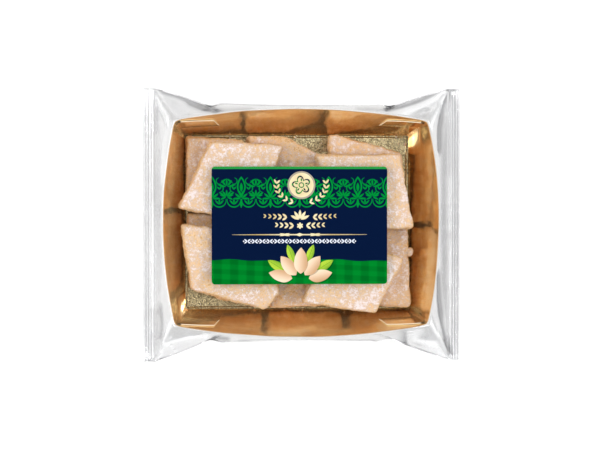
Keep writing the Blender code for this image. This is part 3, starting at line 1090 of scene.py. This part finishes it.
# Two sprigs that bend round the disc
SPRIG_X, SPRIG_Y = 14.0, 10.4
SPRIG_PAIRS, SPRIG_START, SPRIG_STEP = 6, -70.0, 15.0
gold_print = None
for number in range(SPRIG_PAIRS):
    angle = math.radians(SPRIG_START + SPRIG_STEP * number)
    spot = (SPRIG_X * math.cos(angle), DISC[1] + SPRIG_Y * math.sin(angle))
    direction = math.degrees(angle) + 90.0
    for spread in (-36.0, 40.0):
        one = fan(abs(x - DISC[0]), y, spot, (direction + spread,), 1.3, 1.5, 0.55)
        gold_print = one if gold_print is None else gold_print.most(one)

# Two rows of paired leaves, with a palmette and a rosette in their middles. A row has its first pair's place
# and how many pairs lie on each side.
LEAF_ROWS = [(7.4, 4.6, 5), (3.6, -0.2, 4)]
LEAF_STEP, LEAF_RISE, LEAF_SHRINK = 2.9, 0.16, 0.1
side_x = abs(x - 0.2)
gold_print = gold_print.most(fan(side_x, y, (0.0, 3.0), (90.0, 57.0, 26.0), 3.2, 2.6, 0.8))
gold_print = gold_print.most(petals(side_x, y, (0.0, -0.2), 6, 1.8, 0.4, 0.0))
for first, height, pairs in LEAF_ROWS:
    for number in range(pairs):
        spot = (first + LEAF_STEP * number, height + LEAF_RISE * number)
        size = 1.0 - LEAF_SHRINK * number
        pair = fan(side_x, y, spot, (38.0, -34.0), 1.5 * size, 1.6 * size, 0.62 * size)
        gold_print = gold_print.most(pair)

# A rule that thins to its ends, with a rhomb and two pairs of leaves in its middle
rule = within(abs(y - RULE_Y) - 0.34 * (1.0 - (x / 42.4) ** 2.0)) * within(abs(x) - RULE_HALF)
rule = rule.most(within(abs(x) * 0.35 + abs(y - RULE_Y) - 0.95))
for degrees in (14.0, -14.0):
    rule = rule.most(lens(side_x, y, (8.6, RULE_Y), degrees, 3.0, 0.5))
gold_print = gold_print.most(rule)
gold_print = gold_print - gold_print * disc
gold_print = gold_print.most(disc - disc * blossom.most(stamens))

# White garland under the rule
bead_x = x.folded(4.2)
bead_y = y - GARLAND_Y
garland = fan(bead_x, bead_y, (0.1, 0.0), (36.0, -36.0), 1.0, 1.05, 0.36)
garland = garland.most(within(length(bead_x - 2.1, bead_y) - 0.42))
garland = garland * within(abs(x) - GARLAND_HALF)

# Cloth band with a wavy upper edge and woven checks
wave_y = 0.5 * (x * 0.115).sine() + 0.25 * (x * 0.31 + 1.0).sine()
cloth = within(y - CLOTH_Y - wave_y)
checks_x = x.folded(9.2).rise(1.6, 3.0)
checks_y = (y + 0.05 * x).folded(5.6).rise(1.0, 1.8)
weave = printed.grain(0.7 * MM, detail=2.0, stretch=(0.3, 1.6, 1.0))
cloth_shade = (0.55 * checks_x + 0.45 * checks_y) * (0.75 + 0.5 * weave)
cloth_colour = cloth_shade.blend(CLOTH_DARK, CLOTH_GREEN)

# Almonds and leaves
NUT_PALE = (0.88, 0.72, 0.54)
NUT_BROWN = (0.55, 0.32, 0.17)
LEAF_LIGHT = (0.42, 0.60, 0.05)
LEAF_DEEP = (0.12, 0.30, 0.02)


def almond(x, y, middle, degrees, half_length, half_width):
    """A kernel's field and its shading: one round end, one pointed end, and fine streaks along it."""
    a, b = turned(x, y, middle, degrees)
    share = a / half_length
    outline = half_width * (1.0 - abs(share) ** 2.6) * (1.0 - 0.22 * share)
    field = within(abs(b) - outline) * within(abs(a) - half_length)
    side_light = (b / half_width * 0.5 + 0.5).rise(-0.1, 1.1)
    streak = printed.add(
        "TexWave",
        {"bands_direction": "Y", "wave_profile": "SIN"},
        {
            "Vector": printed.add("CombineXYZ", values={0: a * 0.06, 1: b, 2: 0.0}),
            "Scale": 0.55,
            "Distortion": 2.0,
            "Detail": 2.0,
        },
        output="Fac",
    )
    return field, side_light * (0.72 + 0.28 * streak)


def leaf(x, y, middle, degrees, half_length, half_width):
    """A leaf's field and its shading: a light side, a dark side, a rib and slanting veins."""
    a, b = turned(x, y, middle, degrees)
    field = lens(x, y, middle, degrees, half_length, half_width)
    rib = 1.0 - within(abs(b) - 0.12)
    veins = ((abs(b) * 1.2 - a) * 3.4).sine().rise(0.86, 0.98)
    return field, rib * (1.0 - 0.35 * veins) * (b / half_width * 0.5 + 0.5).rise(-0.4, 1.0)


# What spreads from one point at the label's lower edge: leaves or almonds, their directions, their reach from
# that point, half length and half width
SPRAY_MIDDLE = (0.5, -31.0)
SPRAY = [
    (leaf, (32.0, 148.0), 15.5, 6.2, 2.4),
    (leaf, (70.0, 110.0), 16.0, 5.6, 2.0),
    (almond, (14.0, 166.0), 11.6, 6.8, 3.3),
    (almond, (51.0, 129.0), 10.8, 6.9, 3.4),
    (almond, (89.0,), 11.2, 7.4, 3.7),
]
picture = cloth.blend(NAVY, cloth_colour)
picture = border.blend(picture, GREEN)
picture = within(STRIPE_Y - y).blend(picture, STRIPE_GREEN)
for make, directions, reach, half_length, half_width in SPRAY:
    for degrees in directions:
        angle = math.radians(degrees)
        middle = (SPRAY_MIDDLE[0] + reach * math.cos(angle), SPRAY_MIDDLE[1] + reach * math.sin(angle))
        shadow = lens(x, y, (middle[0] + 0.5, middle[1] - 0.8), degrees, half_length, half_width)
        field, light = make(x, y, middle, degrees, half_length, half_width)
        dark, pale = (LEAF_DEEP, LEAF_LIGHT) if make is leaf else (NUT_BROWN, NUT_PALE)
        picture = (0.45 * shadow).blend(picture, SHADOW_GREEN)
        picture = field.blend(picture, light.blend(dark, pale))
picture = garland.blend(picture, GARLAND_WHITE)
picture = disc_rim.blend(picture, PEWTER)
sheen = printed.grain(9.0 * MM, detail=1.0)
pale_middle = abs(x).rise(22.0, 6.0) * 0.6 + sheen.rise(0.3, 0.7) * 0.4
picture = gold_print.blend(picture, pale_middle.blend(FOIL_GOLD, FOIL_PALE))
paper_tooth = printed.grain(0.35 * MM, detail=3.0)
printed.surface(
    Base_Color=picture,
    Metallic=gold_print * 0.4,
    Roughness=0.5 - 0.15 * gold_print,
    Specular_IOR_Level=0.0,
    Normal=printed.bump(paper_tooth, 0.01 * MM),
)
wear(label, printed)

# Studio
# A pale table, soft lamps high and low on all four sides, four small ones that sparkle on foil and film, and
# a camera far above the pack that leans a little to the left.

TABLE_WHITE = (0.37, 0.37, 0.37)
TABLE_GREY = (0.35, 0.35, 0.35)
TABLE_SIZE = 6.0
DAYLIGHT = (0.95, 0.97, 1.0, 1.0)
DAYLIGHT_STRENGTH = 0.33
table_paper = Finish("pale_table")
table_paper.surface(
    Base_Color=table_paper.grain(30 * MM, detail=2.0).blend(TABLE_GREY, TABLE_WHITE),
    Roughness=0.9,
    Emission_Color=(1.0, 1.0, 1.0, 1.0),
    Emission_Strength=0.68,
)
deselect()
bpy.ops.mesh.primitive_grid_add(x_subdivisions=4, y_subdivisions=4, size=TABLE_SIZE)
table = bpy.context.object
table.name = "table"
wear(table, table_paper)

# Each lamp: its place, the side of its square in metres, and its power in watts. All of them face the pack.
LAMPS = {
    "high_left": ((-1.0, 0.1, 1.9), 0.9, 5.0),
    "high_right": ((1.0, 0.0, 1.9), 0.9, 7.4),
    "high_near": ((0.1, -1.0, 1.9), 0.9, 4.2),
    "high_far": ((-0.1, 1.0, 1.9), 0.9, 7.8),
    "low_left": ((-1.1, -0.1, 0.95), 0.9, 4.4),
    "low_right": ((1.1, 0.1, 0.95), 0.9, 3.0),
    "low_near": ((0.1, -1.2, 0.9), 0.9, 2.4),
    "low_far": ((0.0, 1.2, 0.9), 0.9, 1.6),
    "spark_left": ((-1.08, 0.2, 1.05), 0.14, 3.0),
    "spark_right": ((1.08, -0.1, 1.05), 0.14, 2.4),
    "spark_far_right": ((0.95, 0.85, 0.62), 0.22, 3.0),
    "spark_near_left": ((-0.95, -0.85, 0.62), 0.22, 3.0),
}
for name, (spot, size, power) in LAMPS.items():
    lamp_data = bpy.data.lights.new(f"lamp_{name}", "AREA")
    lamp_data.energy = power
    lamp_data.size = size
    lamp = bpy.data.objects.new(f"lamp_{name}", lamp_data)
    lamp.location = spot
    lamp.rotation_euler = (-Vector(spot)).to_track_quat("-Z", "Y").to_euler()
    bpy.context.scene.collection.objects.link(lamp)

world = bpy.data.worlds.new("studio")
bpy.context.scene.world = world
world.use_nodes = True
world.node_tree.nodes["Background"].inputs["Color"].default_value = DAYLIGHT
world.node_tree.nodes["Background"].inputs["Strength"].default_value = DAYLIGHT_STRENGTH

FRAME_WIDTH = 340.8 * MM
FRAME_MIDDLE = Vector((-1.28 * MM, -0.14 * MM, SEAL_HEIGHT))
CAMERA_DISTANCE = 1.485
CLIP_START = 0.05
LEAN_X = math.radians(4.6)
LEAN_Y = math.radians(1.15)
camera_data = bpy.data.cameras.new("camera")
camera_data.lens = camera_data.sensor_width * CAMERA_DISTANCE / FRAME_WIDTH
camera_data.clip_start = CLIP_START
camera = bpy.data.objects.new("camera", camera_data)
camera.rotation_euler = (-LEAN_Y, -LEAN_X, 0.0)
camera.location = FRAME_MIDDLE + camera.rotation_euler.to_matrix() @ Vector((0.0, 0.0, CAMERA_DISTANCE))
bpy.context.scene.collection.objects.link(camera)
bpy.context.scene.camera = camera
bpy.context.scene.view_settings.view_transform = "Standard"
